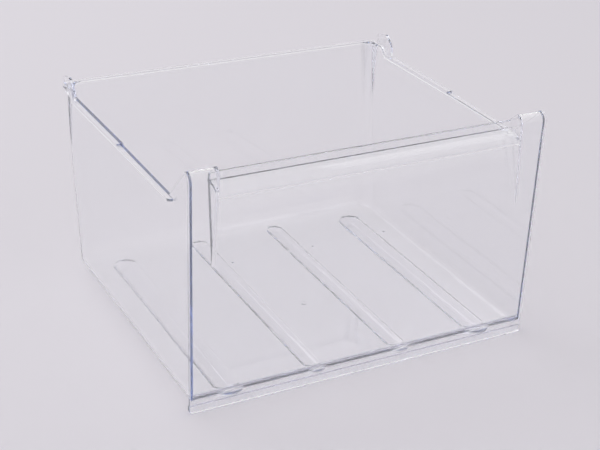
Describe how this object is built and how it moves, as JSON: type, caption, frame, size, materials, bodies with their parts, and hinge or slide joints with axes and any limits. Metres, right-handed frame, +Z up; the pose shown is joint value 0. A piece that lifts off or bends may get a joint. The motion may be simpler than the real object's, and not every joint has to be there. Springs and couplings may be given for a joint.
{
  "type": "freezer drawer",
  "caption": "Clear moulded freezer drawer: open tub with drafted walls, fluted base on runners, side rims to slide on, rear stop tabs and a front panel with a recessed grip lip.",
  "frame": {"origin": "middle of the drawer's footprint, on the surface that it stands on", "axes": "+Z up, front panel faces -Y, +X to the right when the front is seen"},
  "size_m": [0.406, 0.357, 0.2595],
  "materials": {
    "clear_plastic": "clear glossy moulded polystyrene"
  },
  "bodies": {
    "root": {"drawer": "clear_plastic"}
  },
  "joints": []
}
